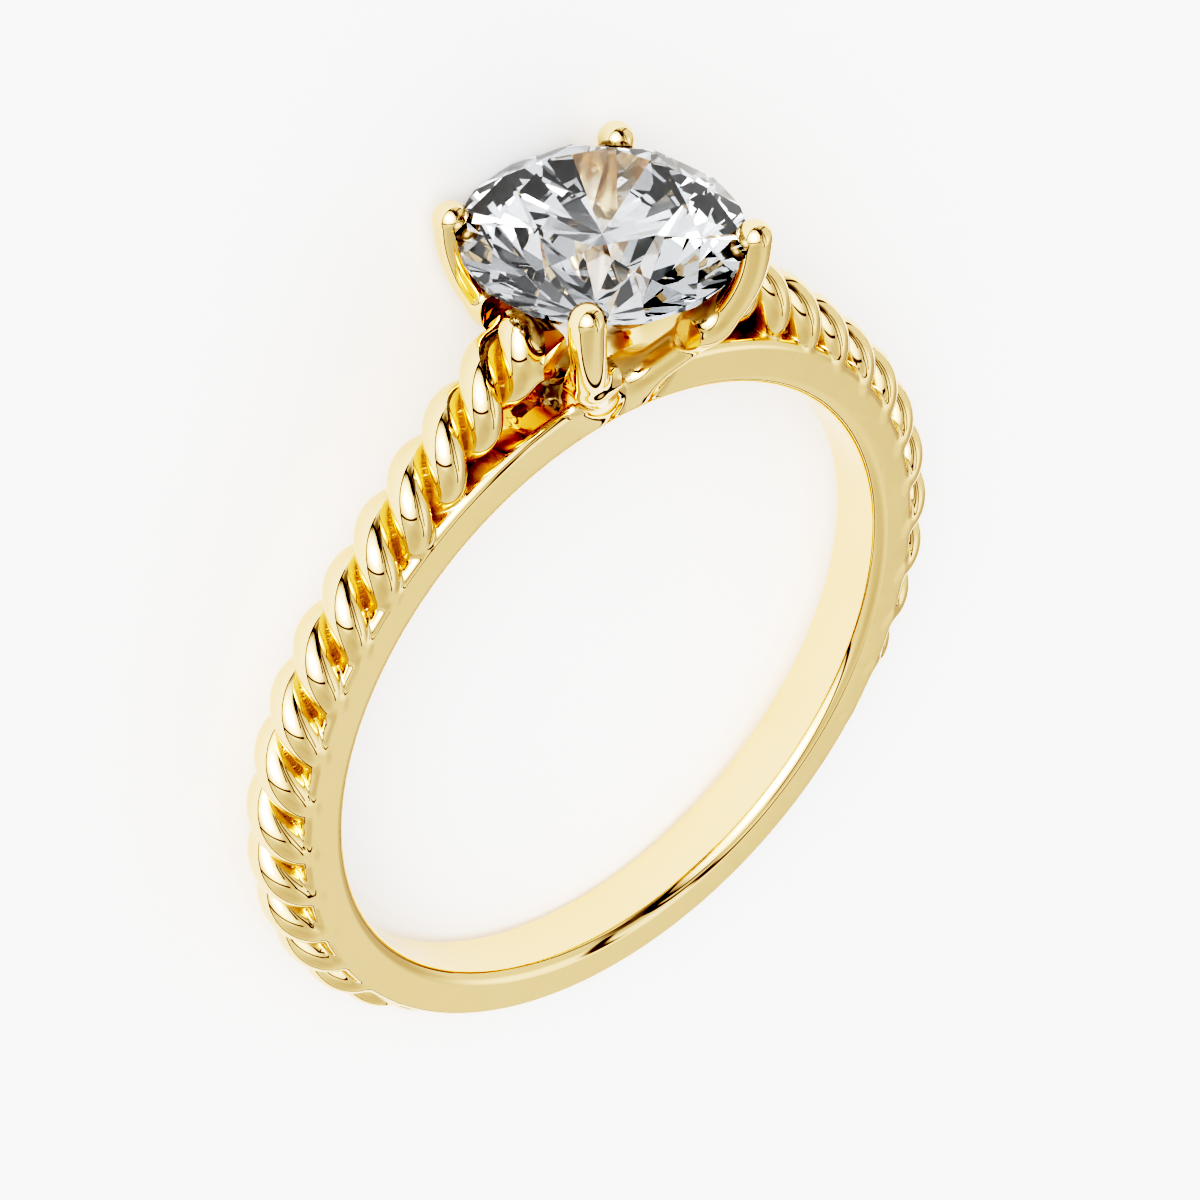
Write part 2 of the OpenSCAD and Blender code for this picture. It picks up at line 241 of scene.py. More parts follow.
def strandTree():
    # Two strands wound round a path in the upright plane, and the same on the other shoulder
    tree, given = newTree("twisted strands", {
        "Strand Radius": "Float", "Lay Radius": "Float", "Turn Length": "Float", "Start Turn": "Float",
        "Spacing": "Float", "Facets": "Int", "Material": "Material"})
    path = addNode(tree, "GeometryNodeResampleCurve", (1, 0), mode="LENGTH",
                   links={"Curve": given["Path"], "Length": given["Spacing"]})
    tangent = addNode(tree, "GeometryNodeInputTangent", (1, 2))
    size = addNode(tree, "GeometryNodeInputRadius", (1, 3))
    spot = addNode(tree, "GeometryNodeSplineParameter", (1, 4))
    out = addNode(tree, "ShaderNodeVectorMath", (2, 2), operation="CROSS_PRODUCT",
                  links={0: tangent.outputs[0]})
    out.inputs[1].default_value = (0, 1, 0)
    lay = addNode(tree, "ShaderNodeMath", (2, 3), operation="MULTIPLY",
                  links={0: size.outputs[0], 1: given["Lay Radius"]})
    turns = addNode(tree, "ShaderNodeMath", (2, 4), operation="DIVIDE",
                    links={0: spot.outputs["Length"], 1: given["Turn Length"]})
    join = addNode(tree, "GeometryNodeJoinGeometry", (11, 0))
    for half in (0, 1):
        row = half * 5
        spin = addNode(tree, "ShaderNodeMath", (3, row + 4), operation="MULTIPLY_ADD",
                       links={0: turns.outputs[0], 2: given["Start Turn"]})
        spin.inputs[1].default_value = 2 * math.pi
        angle = addNode(tree, "ShaderNodeMath", (4, row + 4), operation="ADD", links={0: spin.outputs[0]})
        angle.inputs[1].default_value = half * math.pi
        cosine = addNode(tree, "ShaderNodeMath", (5, row + 3), operation="COSINE",
                         links={0: angle.outputs[0]})
        sine = addNode(tree, "ShaderNodeMath", (5, row + 4), operation="SINE", links={0: angle.outputs[0]})
        rise = addNode(tree, "ShaderNodeMath", (6, row + 3), operation="MULTIPLY",
                       links={0: cosine.outputs[0], 1: lay.outputs[0]})
        side = addNode(tree, "ShaderNodeMath", (6, row + 4), operation="MULTIPLY",
                       links={0: sine.outputs[0], 1: lay.outputs[0]})
        up = addNode(tree, "ShaderNodeVectorMath", (7, row + 3), operation="SCALE",
                     links={0: out.outputs[0], "Scale": rise.outputs[0]})
        flip = addNode(tree, "ShaderNodeMath", (7, row + 4), operation="MULTIPLY", links={0: side.outputs[0]})
        flip.inputs[1].default_value = -1
        across = addNode(tree, "ShaderNodeCombineXYZ", (7, row + 5), links={"Y": flip.outputs[0]})
        offset = addNode(tree, "ShaderNodeVectorMath", (8, row + 3), operation="ADD",
                         links={0: up.outputs[0], 1: across.outputs[0]})
        strand = addNode(tree, "GeometryNodeSetPosition", (8, row),
                         links={"Geometry": path.outputs[0], "Offset": offset.outputs[0]})
        wire = sweep(tree, strand.outputs[0], given["Strand Radius"], given["Facets"], (9, row))
        ball = ballAtEnd(tree, strand.outputs[0], given["Strand Radius"], given["Facets"], 1, 0, (9, row + 3))
        tree.links.new(wire, join.inputs[0])
        tree.links.new(ball, join.inputs[0])
    mirrored = addNode(tree, "GeometryNodeTransform", (12, 1), {"Scale": (-1, 1, 1)},
                       {"Geometry": join.outputs[0]})
    flipped = addNode(tree, "GeometryNodeFlipFaces", (13, 1), links={"Mesh": mirrored.outputs[0]})
    both = addNode(tree, "GeometryNodeJoinGeometry", (14, 0))
    tree.links.new(join.outputs[0], both.inputs[0])
    tree.links.new(flipped.outputs[0], both.inputs[0])
    closeTree(tree, both.outputs[0], given["Material"], (15, 0))
    return tree


def basketTree():
    # One claw along its path and one rail, set four times round the stone
    tree, given = newTree("claws and rails", {
        "Wire Radius": "Float", "Tip Radius": "Float", "Rail Radius": "Float", "Rail Distance": "Float",
        "Rail Height": "Float", "Facets": "Int", "Material": "Material"})
    claw = addNode(tree, "GeometryNodeJoinGeometry", (4, 0))
    tree.links.new(sweep(tree, given["Path"], given["Wire Radius"], given["Facets"], (2, 0)), claw.inputs[0])
    tree.links.new(ballAtEnd(tree, given["Path"], given["Tip Radius"], given["Facets"], 1, 0, (2, 3)),
                   claw.inputs[0])
    tree.links.new(ballAtEnd(tree, given["Path"], given["Wire Radius"], given["Facets"], 0, 1, (2, 6)),
                   claw.inputs[0])
    back = addNode(tree, "ShaderNodeMath", (1, 9), operation="MULTIPLY", links={0: given["Rail Distance"]})
    back.inputs[1].default_value = -1
    start = addNode(tree, "ShaderNodeCombineXYZ", (2, 9),
                    links={"X": given["Rail Distance"], "Y": back.outputs[0], "Z": given["Rail Height"]})
    end = addNode(tree, "ShaderNodeCombineXYZ", (2, 10),
                  links={"X": given["Rail Distance"], "Y": given["Rail Distance"], "Z": given["Rail Height"]})
    line = addNode(tree, "GeometryNodeCurvePrimitiveLine", (3, 9),
                   links={"Start": start.outputs[0], "End": end.outputs[0]})
    rail = sweep(tree, line.outputs[0], given["Rail Radius"], given["Facets"], (4, 9))
    corners = addNode(tree, "GeometryNodePoints", (5, 2), {"Count": 4})
    index = addNode(tree, "GeometryNodeInputIndex", (4, 3))
    join = addNode(tree, "GeometryNodeJoinGeometry", (8, 0))
    for shape, first, row in ((claw.outputs[0], 45, 0), (rail, 0, 4)):
        turn = addNode(tree, "ShaderNodeMath", (5, row + 3), operation="MULTIPLY_ADD",
                       links={0: index.outputs[0]})
        turn.inputs[1].default_value = math.radians(90)
        turn.inputs[2].default_value = math.radians(first)
        about = addNode(tree, "ShaderNodeCombineXYZ", (6, row + 3), links={"Z": turn.outputs[0]})
        four = addNode(tree, "GeometryNodeInstanceOnPoints", (7, row),
                       links={"Points": corners.outputs[0], "Instance": shape, "Rotation": about.outputs[0]})
        tree.links.new(four.outputs[0], join.inputs[0])
    closeTree(tree, join.outputs[0], given["Material"], (9, 0))
    return tree


def bandMesh(name):
    # the plain band, turned from its rounded outline
    half = band["width"] / 2
    outline = []
    for r0, y0, q, first in ((bandOuter, half, band["outerRounding"], 0),
                             (band["fingerRadius"], half, band["innerRounding"], 90),
                             (band["fingerRadius"], -half, band["innerRounding"], 180),
                             (bandOuter, -half, band["outerRounding"], 270)):
        inR = r0 - q if first in (0, 270) else r0 + q
        inY = y0 - q if first in (0, 90) else y0 + q
        for k in range(7):
            a = math.radians(first + 15 * k)
            outline.append((inR + q * math.cos(a), inY + q * math.sin(a)))
    n, m = band["steps"], len(outline)
    points = [(r * math.cos(2 * math.pi * i / n), y, r * math.sin(2 * math.pi * i / n))
              for i in range(n) for r, y in outline]
    faces = [(i * m + k, i * m + (k + 1) % m, (i + 1) % n * m + (k + 1) % m, (i + 1) % n * m + k)
             for i in range(n) for k in range(m)]
    return newMesh(name, points, faces)


print("making the gold wire")
lengths = np.linspace(-twist["riseLength"], twistLength, 400)
middles, _, sizes = twistMiddle(lengths)
path = newPath("shoulderPath", np.stack([middles[:, 0], 0 * lengths, middles[:, 1]], axis=1), sizes)
strands = runTree(path, strandTree(), {
    "Strand Radius": twist["strandRadius"], "Lay Radius": twist["layRadius"],
    "Turn Length": twist["turnLength"],
    "Start Turn": math.radians(twist["layTurn"]) - 2 * math.pi * twist["riseLength"] / twist["turnLength"],
    "Spacing": twist["spacing"], "Facets": twist["facets"]}, "strands")
turns = np.linspace(0, footTurn, 40)
clawPath = np.stack([bendOut + basket["bendRadius"] * np.cos(turns), 0 * turns,
                     tipHeight - basket["bendRadius"] * np.sin(turns)], axis=1)
slope = math.radians(basket["footSlope"])
clawPath = np.vstack([clawPath, clawPath[-1] - footLength * np.array([math.cos(slope), 0, math.sin(slope)])])
claws = runTree(newPath("clawPath", clawPath, np.ones(len(clawPath))), basketTree(), {
    "Wire Radius": basket["wireRadius"], "Tip Radius": basket["tipRadius"],
    "Rail Radius": basket["railRadius"],
    "Rail Distance": basket["railOut"], "Rail Height": railHeight, "Facets": basket["facets"]}, "basket")
shank = bandMesh("band")

# The strands' sunken ends stay out of the finger hole
holeClear = band["fingerRadius"] + band["innerRounding"] / 2
for vertex in strands.data.vertices:
    r = math.hypot(vertex.co.x, vertex.co.z)
    if r < holeClear:
        vertex.co.x *= holeClear / r
        vertex.co.z *= holeClear / r


# Distance to each form of the metal, and the direction in which it grows, for many points at once
def unit(v):
    return v / np.maximum(np.linalg.norm(v, axis=-1, keepdims=True), 1e-9)


def bandField(p):
    r = np.hypot(p[:, 0], p[:, 2])
    middle = (band["fingerRadius"] + bandOuter) / 2
    q = np.where(r < middle, band["innerRounding"], band["outerRounding"])
    a = np.abs(r - middle) - (band["thickness"] / 2 - q)
    b = np.abs(p[:, 1]) - (band["width"] / 2 - q)
    inside = np.minimum(np.maximum(a, b), 0)
    distance = inside + np.hypot(np.maximum(a, 0), np.maximum(b, 0)) - q
    ga = np.where(np.maximum(a, b) > 0, np.maximum(a, 0), a > b)
    gb = np.where(np.maximum(a, b) > 0, np.maximum(b, 0), a <= b)
    radial = ga * np.sign(r - middle) / np.maximum(r, 1e-9)
    return distance, unit(np.stack([radial * p[:, 0], gb * np.sign(p[:, 1]), radial * p[:, 2]], axis=1))


# The nearest point of a strand is looked for where a strand can lie: among tries on both sides of
# the place that a table gives, and then closer and closer
search = {"inner": 7.4, "outer": 13.5, "side": 1.6, "lowest": -10, "farAway": 9.0, "tablePast": 0.5,
          "tablePoints": 1500, "reach": 1.35, "tries": 19, "closer": (0.06, 0.02, 0.006)}
tableLengths = np.linspace(-twist["riseLength"] - search["tablePast"], twistLength, search["tablePoints"])
tableMiddles = twistMiddle(tableLengths)[0]
tableTurns = np.arctan2(tableMiddles[:, 0], tableMiddles[:, 1])


def strandField(p, startTurn):
    distance, grow = np.full(len(p), search["farAway"]), np.tile([0.0, 0.0, 1.0], (len(p), 1))
    r = np.hypot(p[:, 0], p[:, 2])
    near = (r > search["inner"]) & (r < search["outer"])
    near = np.nonzero(near & (np.abs(p[:, 1]) < search["side"]) & (p[:, 2] > search["lowest"]))[0]
    if len(near) == 0:
        return distance, grow
    q = p[near]
    sign = np.where(q[:, 0] < 0, -1.0, 1.0)
    q[:, 0] = np.abs(q[:, 0])
    low, high = -twist["riseLength"], twistLength
    start = np.interp(np.arctan2(q[:, 0], q[:, 2]), tableTurns, tableLengths)
    best, far = start.copy(), np.full(len(q), 1e9)
    for step in np.linspace(-search["reach"], search["reach"], search["tries"]):
        length = np.clip(start + step, low, high)
        gap = ((q - strandMiddle(length, startTurn)[0]) ** 2).sum(axis=1)
        better = gap < far
        best[better], far[better] = length[better], gap[better]
    for reach in search["closer"]:
        length = np.stack([np.clip(best + k * reach, low, high) for k in (-1, 0, 1)])
        gap = ((q - strandMiddle(length, startTurn)[0]) ** 2).sum(axis=2)
        bend = gap[0] - 2 * gap[1] + gap[2]
        move = np.where(bend > 1e-12, 0.5 * (gap[0] - gap[2]) / np.where(bend > 1e-12, bend, 1), 0)
        best = np.clip(best + np.clip(move, -2, 2) * reach, low, high)
    middle, size = strandMiddle(best, startTurn)
    away = q - middle
    distance[near] = np.linalg.norm(away, axis=1) - twist["strandRadius"] * size
    away = unit(away)
    away[:, 0] *= sign
    grow[near] = away
    return distance, grow


def basketField(p):
    mirror = np.where(p < 0, -1.0, 1.0)
    mirror[:, 2] = 1
    x, y, z = np.abs(p[:, 0]), np.abs(p[:, 1]), p[:, 2]
    out, side = (x + y) / math.sqrt(2), (x - y) / math.sqrt(2)
    here = np.stack([out, side, z], axis=1)
    turn = np.clip(np.arctan2(tipHeight - z, out - bendOut), 0, footTurn)
    onBend = np.stack([bendOut + basket["bendRadius"] * np.cos(turn), 0 * turn,
                       tipHeight - basket["bendRadius"] * np.sin(turn)], axis=1)
    down = np.array([-math.cos(slope), 0, -math.sin(slope)])
    foot = np.array([footOut, 0, footHeight])
    onFoot = foot + np.clip((here - foot) @ down, 0, footLength)[:, None] * down
    tip = np.array([tipOut, 0, tipHeight])
    parts = [(here - onBend, basket["wireRadius"]), (here - onFoot, basket["wireRadius"]),
             (here - tip, basket["tipRadius"])]
    gaps = np.stack([np.linalg.norm(v, axis=1) - r for v, r in parts])
    pick = np.argmin(gaps, axis=0)
    away = unit(np.stack([v for v, _ in parts])[pick, np.arange(len(p))])
    s = 1 / math.sqrt(2)
    grow = np.stack([(away[:, 0] + away[:, 1]) * s, (away[:, 0] - away[:, 1]) * s, away[:, 2]], axis=1)
    claw = (gaps.min(axis=0), grow * mirror)
    d = basket["railOut"]
    toX = np.stack([x - d, np.maximum(y - d, 0), z - railHeight], axis=1)
    toY = np.stack([np.maximum(x - d, 0), y - d, z - railHeight], axis=1)
    dx, dy = np.linalg.norm(toX, axis=1), np.linalg.norm(toY, axis=1)
    grow = unit(np.where((dx < dy)[:, None], toX, toY)) * mirror
    rail = (np.minimum(dx, dy) - basket["railRadius"], grow)
    # solder that fills the place where the twist ends on its rail
    toWeb = np.stack([x - basket["webOut"], np.maximum(y - basket["webHalf"], 0),
                      z - railHeight - basket["webUp"]], axis=1)
    web = (np.linalg.norm(toWeb, axis=1) - basket["webRadius"],
           unit(toWeb) * mirror)
    return blend(blend(claw, rail, fillet["clawOnRail"]), web, basket["webFillet"])


def blend(one, two, width):
    # a soft union: a fillet of about that width where the two meet
    share = np.maximum(width - np.abs(one[0] - two[0]), 0) / width
    mix = np.where(one[0] < two[0], 1 - share / 2, share / 2)[:, None]
    return np.minimum(one[0], two[0]) - share ** 2 * width / 4, one[1] * mix + two[1] * (1 - mix)


def notDeeper(one, two, width):
    # the soft overlap of two forms
    both = blend((-one[0], -one[1]), (-two[0], -two[1]), width)
    return -both[0], -both[1]


def bothStrands(p):
    start = math.radians(twist["layTurn"])
    return strandField(p, start), strandField(p, start + math.pi)


def metalField(p, strand=None):
    # strand picks one of the two where a face belongs to it; otherwise the nearer one counts
    first, second = bothStrands(p)
    pick = first[0] < second[0] if strand is None else strand == 0
    wound = (np.where(pick, first[0], second[0]), np.where(pick[:, None], first[1], second[1]))
    r = np.hypot(p[:, 0], p[:, 2])
    inward = -np.stack([p[:, 0] / r, 0 * r, p[:, 2] / r], axis=1)
    wound = notDeeper(wound, (holeClear - r, inward), fillet["insideHole"])
    shankForm = blend(bandField(p), wound, fillet["strandOnBand"])
    whole = blend(shankForm, basketField(p), fillet["headOnShank"])
    return whole[0], whole[1], first[0], second[0]


def creaseMove(p):
    # on to the line in which the two strands meet
    a, b = bothStrands(p)
    dot = (a[1] * b[1]).sum(axis=1)
    det = np.maximum(1 - dot ** 2, skin["leastCross"])
    ka, kb = (a[0] - dot * b[0]) / det, (b[0] - dot * a[0]) / det
    return p - ka[:, None] * a[1] - kb[:, None] * b[1]


def settle(p, rounds):
    # every point moves on to the true surface
    for _ in range(rounds):
        distance, grow = metalField(p)[:2]
        steep = np.maximum((grow ** 2).sum(axis=1), skin["leastSlope"])
        p = p - (np.clip(distance, -skin["longestMove"], skin["longestMove"]) / steep)[:, None] * grow
    _, _, a, b = metalField(p)
    crease = np.nonzero((np.abs(a) < skin["creaseReach"]) & (np.abs(b) < skin["creaseReach"]))[0]
    others = np.minimum(bandField(p[crease])[0], basketField(p[crease])[0]) if len(crease) else np.zeros(0)
    crease = crease[others > fillet["strandOnBand"]]
    for _ in range(skin["creaseRounds"]):
        p[crease] = creaseMove(p[crease])
    return p


def seatCutter(name):
    # the stone's room in the metal, a little wider than the stone
    g = stone["seatGap"]
    edge = stone["radius"] + g
    pavilion, crown = math.radians(stone["pavilionSlope"]), math.radians(stone["crownSlope"])
    down, up = g / math.cos(pavilion), g / math.cos(crown)
    outline = [(edge, culetHeight - down + edge * math.tan(pavilion)),
               (edge, girdleTop + up + (stone["radius"] - edge) * math.tan(crown)),
               (tableRadius, tableHeight + up)]
    n = 192
    points = [(0, 0, culetHeight - down)]
    points += [(r * math.cos(2 * math.pi * i / n), r * math.sin(2 * math.pi * i / n), z)
               for r, z in outline for i in range(n)]
    faces = [(0, 1 + (i + 1) % n, 1 + i) for i in range(n)]
    for k in (0, 1):
        faces += [(1 + k * n + i, 1 + k * n + (i + 1) % n, 1 + (k + 1) * n + (i + 1) % n, 1 + (k + 1) * n + i)
                  for i in range(n)]
    faces.append(tuple(1 + 2 * n + i for i in range(n)))
    return newMesh(name, points, faces)


print("joining the metal into one skin")
bpy.context.view_layer.update()
pointCount, pointList, faceList = 0, [], []
for part in (shank, strands, claws):
    co = np.empty(len(part.data.vertices) * 3)
    part.data.vertices.foreach_get("co", co)
    pointList += [tuple(v) for v in co.reshape(-1, 3)]
    faceList += [tuple(pointCount + i for i in face.vertices) for face in part.data.polygons]
    pointCount += len(part.data.vertices)
    bpy.data.objects.remove(part, do_unlink=True)
joined = newMesh("wires", pointList, faceList)
for voxel in (skin["firstVoxel"], skin["voxel"]):
    remesh = joined.modifiers.new("one skin", "REMESH")
    remesh.mode = "VOXEL"
    remesh.voxel_size = voxel
    joined = plainMesh(joined, "skin")
    count = len(joined.data.vertices)
    co = np.empty(count * 3)
    joined.data.vertices.foreach_get("co", co)
    joined.data.vertices.foreach_set("co", settle(co.reshape(-1, 3), skin["rounds"]).ravel())
    joined.data.update()
    print("skin of", count, "points,", len(joined.data.polygons), "faces")
thin = joined.modifiers.new("fewer faces", "DECIMATE")
thin.ratio = skin["share"]
joined = plainMesh(joined, "thinSkin")
print("thinned to", len(joined.data.polygons), "faces")

cutter = seatCutter("seat")
cut = joined.modifiers.new("seat", "BOOLEAN")
cut.operation = "DIFFERENCE"
cut.solver = "MANIFOLD"
cut.object = cutter
joined = plainMesh(joined, "goldRing")
bpy.data.objects.remove(cutter, do_unlink=True)
mesh = joined.data

# Smooth shading from the true forms, so that reflections run without ripples
verts = np.empty(len(mesh.vertices) * 3)
mesh.vertices.foreach_get("co", verts)
verts = verts.reshape(-1, 3)
loops = np.empty(len(mesh.loops), dtype=np.int64)
mesh.loops.foreach_get("vertex_index", loops)
starts, totals = np.empty(len(mesh.polygons), dtype=np.int64), np.empty(len(mesh.polygons), dtype=np.int64)
mesh.polygons.foreach_get("loop_start", starts)
mesh.polygons.foreach_get("loop_total", totals)
faceOf = np.repeat(np.arange(len(starts)), totals)
centres, flat = np.empty(len(starts) * 3), np.empty(len(starts) * 3)
mesh.polygons.foreach_get("center", centres)
mesh.polygons.foreach_get("normal", flat)
centres, flat = centres.reshape(-1, 3), flat.reshape(-1, 3)
faceDistance, _, a, b = metalField(centres)
strandOf = (b < a).astype(int)
keys, back = np.unique(loops * 2 + strandOf[faceOf], return_inverse=True)
normals = unit(metalField(verts[keys // 2], keys % 2)[1])[back]
inSeat = faceDistance < -skin["seatDepth"]
rough = (normals * flat[faceOf]).sum(axis=1) < skin["leastFacing"]
plain = inSeat[faceOf] | rough
normals[plain] = flat[faceOf][plain]
print("seat faces", int(inSeat.sum()), "rough corners", int(rough.sum()))

# How much metal stands close round each point, where shade falls: this mask paints shade into the gold there,
# darker and less metallic, and makes it rougher, as a polishing wheel doesn't reach such places
recessShade = {"reach": 2.4, "rays": 40, "start": 0.03, "rounds": 3,
          "basketOut": 3.0, "basketLow": 9.40, "basketShare": 0.5,
          "grazing": 0.15, "outFade": 0.4, "turnedFrom": 0.35, "turnedFade": 0.3, "lowFade": 0.1}
seen = BVHTree.FromPolygons([tuple(v) for v in verts], [tuple(f.vertices) for f in mesh.polygons])
k = np.arange(recessShade["rays"]) + 0.5
height, around = 1 - 2 * k / recessShade["rays"], math.pi * (1 + math.sqrt(5)) * k
spread = np.stack([np.sqrt(1 - height ** 2) * np.cos(around),
                   np.sqrt(1 - height ** 2) * np.sin(around), height], axis=1)
outwards = unit(metalField(verts)[1])
facing = outwards @ spread.T
closed = np.zeros(len(verts))
for i, (point, row) in enumerate(zip(verts + outwards * recessShade["start"], facing)):
    total = 0.0
    for j in np.nonzero(row > recessShade["grazing"])[0]:
        gap = seen.ray_cast(Vector(point), Vector(spread[j]), recessShade["reach"])[3]
        total += 0.0 if gap is None else row[j] * (1 - gap / recessShade["reach"])
    closed[i] = total / row[row > recessShade["grazing"]].sum()
ends = np.empty(len(mesh.edges) * 2, dtype=np.int64)
mesh.edges.foreach_get("vertices", ends)
ends = ends.reshape(-1, 2)
for _ in range(recessShade["rounds"]):
    total = closed + np.bincount(ends[:, 0], closed[ends[:, 1]], len(verts))
    total += np.bincount(ends[:, 1], closed[ends[:, 0]], len(verts))
    closed = total / (1 + np.bincount(ends.ravel(), minlength=len(verts)))
# The wheel doesn't reach the inner side of the basket either: this share alone makes it rougher but paints no
# shade
radius = np.hypot(verts[:, 0], verts[:, 1])
turnedOut = (outwards[:, 0] * verts[:, 0] + outwards[:, 1] * verts[:, 1]) / np.maximum(radius, 0.01)
within = np.clip((recessShade["basketOut"] - radius) / recessShade["outFade"], 0, 1)
within *= np.clip((recessShade["turnedFrom"] - turnedOut) / recessShade["turnedFade"], 0, 1)
above = np.hypot(verts[:, 0], verts[:, 2]) - recessShade["basketLow"]
within *= np.clip(above / recessShade["lowFade"], 0, 1) * (verts[:, 2] > 0)
closed = np.maximum(closed, recessShade["basketShare"] * within)
# kept on the points: the gold material paints shade and roughness from this mask
mesh.attributes.new("recessShade", "FLOAT", "POINT").data.foreach_set("value", closed)
print("recessShade", np.percentile(closed, [10, 50, 75, 90, 97]).round(2))

mesh.vertices.foreach_set("co", (layDown(verts) / 1000).ravel())
mesh.update()
mesh.polygons.foreach_set("use_smooth", np.ones(len(starts), dtype=bool))
mesh.normals_split_custom_set([tuple(v) for v in layDown(normals)])
mesh.update()
goldRing = joined


# Polished 14 carat yellow gold: a pale warm mirror, with the faint cloud and hair-fine
# scratches that a cloth wheel and wear leave, and painted shade, darker and less metallic, in its recesses
def polishedGold():
    look = {"face": "f9dfbb", "deep": "f4dab1", "roughness": 0.04, "cloudMm": 2.5, "scratchMm": 0.05,
            "recessShade": "b99d6e", "recessRoughness": 0.42, "shadeMetallic": 0.5,
            "dullFrom": 0.28, "dullTo": 0.60,
            "shadeFrom": 0.50, "shadeTo": 0.80}
    material = bpy.data.materials.new("polished yellow gold")
    material.use_nodes = True
    tree = material.node_tree
    tree.nodes.clear()
    spot = addNode(tree, "ShaderNodeTexCoord", (0, 0))
    cloud = addNode(tree, "ShaderNodeTexNoise", (1, 0),
                    {"Scale": 1000 / look["cloudMm"], "Detail": 3.0, "Roughness": 0.5},
                    {"Vector": spot.outputs["Object"]})
    colour = addNode(tree, "ShaderNodeMix", (3, 0), data_type="RGBA", links={"Factor": cloud.outputs["Fac"]})
    colour.inputs[6].default_value = fromHex(look["deep"])
    colour.inputs[7].default_value = fromHex(look["face"])
    haze = addNode(tree, "ShaderNodeMapRange", (3, 1), {"From Min": 0.3, "From Max": 0.7,
        "To Min": look["roughness"] * 0.7, "To Max": look["roughness"] * 1.3}, {"Value": cloud.outputs["Fac"]})
    hair = addNode(tree, "ShaderNodeTexNoise", (1, 2), {"Scale": 1000 / look["scratchMm"], "Detail": 2.0},
                   {"Vector": spot.outputs["Object"]})
    bump = addNode(tree, "ShaderNodeBump", (3, 2), {"Strength": 0.02, "Distance": 0.000002},
                   {"Height": hair.outputs["Fac"]})
    inside = addNode(tree, "ShaderNodeAttribute", (1, 3), attribute_name="recessShade")
    matt = addNode(tree, "ShaderNodeMapRange", (3, 3),
                   {"From Min": look["dullFrom"], "From Max": look["dullTo"]},
                   {"Value": inside.outputs["Fac"]}, interpolation_type="SMOOTHSTEP")
    # painted shade: where much metal stands close round a point, the colour turns darker and browner and the
    # metal less metallic
    shadeMask = addNode(tree, "ShaderNodeMapRange", (3, 4),
                   {"From Min": look["shadeFrom"], "From Max": look["shadeTo"]},
                   {"Value": inside.outputs["Fac"]}, interpolation_type="SMOOTHSTEP")
    shadedColour = addNode(tree, "ShaderNodeMix", (4, 0), data_type="RGBA",
                   links={"Factor": shadeMask.outputs[0], 6: colour.outputs[2]})
    shadedColour.inputs[7].default_value = fromHex(look["recessShade"])
    dull = addNode(tree, "ShaderNodeMix", (4, 1),
                   links={"Factor": matt.outputs[0], 2: haze.outputs["Result"]})
    dull.inputs[3].default_value = look["recessRoughness"]
    metalUnderShade = addNode(tree, "ShaderNodeMapRange", (4, 2), {"To Min": 1.0, "To Max": look["shadeMetallic"]},
                   {"Value": shadeMask.outputs[0]})
    shader = addNode(tree, "ShaderNodeBsdfPrincipled", (5, 0), links={
        "Base Color": shadedColour.outputs[2], "Roughness": dull.outputs[0],
        "Metallic": metalUnderShade.outputs[0], "Normal": bump.outputs["Normal"]})
    addNode(tree, "ShaderNodeOutputMaterial", (7, 0), links={"Surface": shader.outputs[0]})
    return material


# Cut diamond: clear, with flat polished facets that bend light strongly
def cutDiamond():
    look = {"clear": "c8cbce", "faint": "c2c6ca", "cloudMm": 1.5}
    material = bpy.data.materials.new("cut diamond")
    material.use_nodes = True
    tree = material.node_tree
    tree.nodes.clear()
    spot = addNode(tree, "ShaderNodeTexCoord", (0, 0))
    cloud = addNode(tree, "ShaderNodeTexNoise", (1, 0), {"Scale": 1000 / look["cloudMm"], "Detail": 4.0},
                    {"Vector": spot.outputs["Object"]})
    tint = addNode(tree, "ShaderNodeMix", (3, 0), data_type="RGBA", links={"Factor": cloud.outputs["Fac"]})
    tint.inputs[6].default_value = fromHex(look["faint"])
    tint.inputs[7].default_value = fromHex(look["clear"])
    shader = addNode(tree, "ShaderNodeBsdfPrincipled", (5, 0), {
        "Metallic": 0.0, "Roughness": 0.0, "IOR": 2.417, "Transmission Weight": 1.0},
        {"Base Color": tint.outputs[2]})
    addNode(tree, "ShaderNodeOutputMaterial", (7, 0), links={"Surface": shader.outputs[0]})
    return material


gold = polishedGold()
mesh.materials.clear()
mesh.materials.append(gold)
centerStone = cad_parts["center_stone"]
diamond = cutDiamond()
for slot in centerStone.material_slots:
    slot.material = diamond
print("materials set")

# Camera, floor and light: the ring lies on a pale table inside a soft white tent
view = {"place": (72.570, 57.292, 76.705), "turn": (-33.5456, -39.3693, -94.5709), "lens": 149.588}
camera = bpy.data.objects.new("camera", bpy.data.cameras.new("camera"))
camera.data.lens = view["lens"]
camera.data.sensor_width = 36
camera.data.clip_start, camera.data.clip_end = 0.005, 10
camera.location = Vector(view["place"]) / 1000
camera.rotation_euler = Euler([math.radians(v) for v in view["turn"]], "XYZ")
scene.collection.objects.link(camera)
scene.camera = camera

floorLevel = cadBox[0][2]
size = 0.6
floor = newMesh("floor", [(-size, -size, floorLevel), (size, -size, floorLevel), (size, size, floorLevel),
                          (-size, size, floorLevel)], [(0, 1, 2, 3)])
paper = bpy.data.materials.new("white acrylic, lit from below")
paper.use_nodes = True
paper.node_tree.nodes["Principled BSDF"].inputs["Base Color"].default_value = fromHex("ffffff")
paper.node_tree.nodes["Principled BSDF"].inputs["Emission Color"].default_value = (1, 1, 1, 1)
paper.node_tree.nodes["Principled BSDF"].inputs["Emission Strength"].default_value = 0.18
paper.node_tree.nodes["Principled BSDF"].inputs["Roughness"].default_value = 0.9
floor.data.materials.append(paper)

